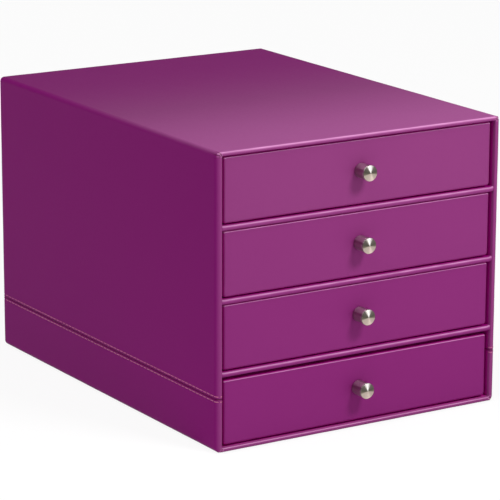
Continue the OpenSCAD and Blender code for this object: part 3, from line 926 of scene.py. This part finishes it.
def tray_lining(n):
    """Suede cloth inside a tray, drawn over the tops of its side and back walls."""
    low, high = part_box(f"drawer_{n}_lining")
    wall_t = low.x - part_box(f"drawer_{n}_left_side")[0].x
    cloth, over, down = CLOTH_T, CLOTH_OVER, CLOTH_DOWN

    along_x = spaced(high.x - low.x, 10 * MM, 2 * MM, 6 * MM, 10 * MM, 2 * MM)
    along_y = spaced(high.y - low.y, 10 * MM, 2 * MM, 6 * MM, 10 * MM, 2 * MM)
    arcs = np.radians(np.linspace(0, 90, 7))[1:-1]

    def loop(inset, z, radius):
        """Closed plan outline of the tray's inside at a height."""
        flat_low = Vector((low.x, 0, low.y))
        flat_high = Vector((high.x, 0, high.y))
        x, y = panel_loop(flat_low, flat_high, inset, [radius] * 4, along_x, along_y, arcs)
        return np.stack([x, y, 0 * x + z], axis=1)

    floor_z = low.z + cloth
    wall_z = np.linspace(high.z, floor_z + CLOTH_FILLET, 7)
    tub = [loop(cloth, z, CLOTH_CORNER) for z in wall_z]
    for turn in np.radians(np.linspace(0, 90, 6))[1:]:
        inset = cloth + CLOTH_FILLET * (1 - math.cos(turn))
        z = floor_z + CLOTH_FILLET * (1 - math.sin(turn))
        tub.append(loop(inset, z, CLOTH_CORNER))
    tub.append(loop(CLOTH_JOIN, floor_z, 0))
    faces = grid_faces(len(tub), len(tub[0]), closed=True)
    start = len(tub) * len(tub[0])
    x = low.x + CLOTH_JOIN + along_x * (high.x - low.x - 2 * CLOTH_JOIN)
    y = low.y + CLOTH_JOIN + along_y * (high.y - low.y - 2 * CLOTH_JOIN)
    flat_x, flat_y = np.meshgrid(x, y)
    floor = np.stack([flat_x, flat_y, 0 * flat_x + floor_z], axis=2).reshape(-1, 3)
    faces += grid_faces(len(y), len(x), start=start)
    start += len(floor)

    outside = -wall_t - 0.35 * MM
    section = [
        (cloth, high.z - 3 * MM),
        (cloth, high.z - 0.3 * MM),
        (cloth * 0.75, high.z + over * 0.6),
        (0, high.z + over),
        (-wall_t / 2, high.z + over),
        (-wall_t + 0.1 * MM, high.z + over),
        (-wall_t - 0.2 * MM, high.z + over * 0.6),
        (outside, high.z - 0.5 * MM),
        (outside, high.z - down / 2),
        (outside, high.z - down),
        (-wall_t - 0.1 * MM, high.z - down - 0.1 * MM),
    ]
    strip = []
    for inset, z in section:
        radius = CLOTH_CORNER if inset > -0.1 * MM else CLOTH_CORNER + abs(inset) * 0.3
        x0, x1, y1 = low.x + inset, high.x - inset, high.y - inset
        run_y = low.y + along_y * (y1 - radius - low.y)
        run_x = x0 + radius + along_x * (x1 - x0 - 2 * radius)
        arc_x = radius * (1 - np.cos(arcs))
        arc_y = y1 - radius + radius * np.sin(arcs)
        px = np.concatenate([0 * run_y + x0, x0 + arc_x, run_x, (x1 - arc_x)[::-1], 0 * run_y + x1])
        py = np.concatenate([run_y, arc_y, 0 * run_x + y1, arc_y[::-1], run_y[::-1]])
        strip.append(np.stack([px, py, 0 * px + z], axis=1))
    faces += grid_faces(len(strip), len(strip[0]), start=start)
    points = np.concatenate([np.concatenate(tub), floor, np.concatenate(strip)])
    piece = make_piece(f"drawer_{n}_suede_lining", points, faces, MATERIALS["lining"], weld=True)
    push(piece, lambda places, normals: 0.05 * MM * ripple(places, 35 * MM, 100 + n))
    settle(piece, f"drawer_{n}", "lining", f"drawer_{n}_lining")


# ---- Build ----

leather_shell("upper_leather", TOP, CEILING, "upper_cover")
leather_shell("lower_leather", BASE, FLOOR, "lower_cover")
back_leather()
stitches(-1, "left_seam_stitches", "left_seam_thread")
stitches(1, "right_seam_stitches", "right_seam_thread")
for n in SHELVES:
    shelf_leather(n)
for n in DRAWERS:
    front_leather(n)
    knob(n)
    tray_lining(n)

for row in frame["record"]["subparts"]:
    cad_node = frame["nodes"][row["node"]]
    cad_node.data.materials.clear()
    cad_node.data.materials.append(MATERIALS[row["material_slot"]])


# ---- Floor, light and camera ----

def make_floor():
    """Wide pale floor, nearly white to the camera, that can be seen through from below."""
    half = 40.0
    whitening = 0.87
    corners = [(-half, -half), (half, -half), (half, half), (-half, half)]
    mesh = bpy.data.meshes.new("floor")
    mesh.from_pydata([(x, y, -0.1 * MM) for x, y in corners], [], [(0, 1, 2, 3)])
    material, tree, shader = new_material("pale_floor")
    shader.inputs["Base Color"].default_value = (0.93, 0.93, 0.93, 1)
    shader.inputs["Roughness"].default_value = 0.9
    shader.inputs["Specular IOR Level"].default_value = 0.1
    rays = node(tree, "LightPath").outputs
    mirrored = maths(tree, "MAXIMUM", rays["Is Glossy Ray"], rays["Is Transmission Ray"])
    seen = maths(tree, "MAXIMUM", rays["Is Camera Ray"], mirrored)
    whitened = node(tree, "MixShader")
    tree.links.new(maths(tree, "MULTIPLY", seen, whitening), whitened.inputs[0])
    tree.links.new(shader.outputs[0], whitened.inputs[1])
    tree.links.new(node(tree, "Emission").outputs[0], whitened.inputs[2])
    clear = node(tree, "BsdfTransparent")
    mixed = node(tree, "MixShader")
    tree.links.new(node(tree, "NewGeometry").outputs["Backfacing"], mixed.inputs[0])
    tree.links.new(whitened.outputs[0], mixed.inputs[1])
    tree.links.new(clear.outputs[0], mixed.inputs[2])
    tree.links.new(mixed.outputs[0], tree.nodes["Material Output"].inputs["Surface"])
    mesh.materials.append(material)
    floor = bpy.data.objects.new("floor", mesh)
    bpy.context.scene.collection.objects.link(floor)


def make_world():
    """Dim grey studio, with a pale band at the horizon, where the floor ends."""
    world = bpy.data.worlds.new("studio")
    bpy.context.scene.world = world
    world.use_nodes = True
    tree = world.node_tree
    parts = node(tree, "SeparateXYZ", Vector=node(tree, "TexCoord").outputs["Generated"])
    height = maths(tree, "ABSOLUTE", parts.outputs["Z"])
    colour = ramp(tree, height, [(0.03, (1.0, 1.0, 1.0)), (0.12, (0.25, 0.25, 0.25))])
    tree.links.new(colour, tree.nodes["Background"].inputs["Color"])
    tree.nodes["Background"].inputs["Strength"].default_value = 1.0


def make_sun(name, towards, strength, angle):
    """Distant lamp. towards points from the object at the lamp, and angle is its width in degrees."""
    light = bpy.data.lights.new(name, "SUN")
    light.energy = strength
    light.angle = math.radians(angle)
    lamp = bpy.data.objects.new(name, light)
    lamp.rotation_euler = Vector(towards).to_track_quat("Z", "Y").to_euler()
    bpy.context.scene.collection.objects.link(lamp)


def make_panel_lamp(name, place, target, power, width, height):
    light = bpy.data.lights.new(name, "AREA")
    light.shape = "RECTANGLE"
    light.energy = power
    light.size, light.size_y = width, height
    lamp = bpy.data.objects.new(name, light)
    lamp.location = place
    lamp.rotation_euler = (Vector(place) - Vector(target)).to_track_quat("Z", "Y").to_euler()
    bpy.context.scene.collection.objects.link(lamp)


def make_camera():
    """The photograph's view: a long lens from the left and a little above."""
    azimuth, elevation, roll = map(math.radians, (-32.163, 14.356, 0.18))
    target = Vector((8.97, 0, 105.9)) * MM
    distance = 2403.9 * MM
    back = Vector((
        math.sin(azimuth) * math.cos(elevation),
        -math.cos(azimuth) * math.cos(elevation),
        math.sin(elevation),
    ))
    camera = bpy.data.cameras.new("camera")
    camera.sensor_width = 36
    camera.lens = 204.575
    camera.clip_start, camera.clip_end = 0.1, 100
    holder = bpy.data.objects.new("camera", camera)
    holder.location = target + back * distance
    turn = (-back).to_track_quat("-Z", "Y").to_matrix().to_4x4()
    holder.rotation_euler = (turn @ Matrix.Rotation(roll, 4, "Z")).to_euler()
    bpy.context.scene.collection.objects.link(holder)
    bpy.context.scene.camera = holder


make_floor()
make_world()
make_sun("low", (0.52, -0.82, 0.12), strength=0.5, angle=25)
make_sun("overhead", (-0.5, -0.05, 0.86), strength=1.82, angle=50)
make_panel_lamp("near", (0.25, -0.95, 0.98), (0, -0.15, 0.15), power=10.8, width=0.34, height=0.24)
make_camera()
bpy.context.scene.view_settings.view_transform = "Standard"
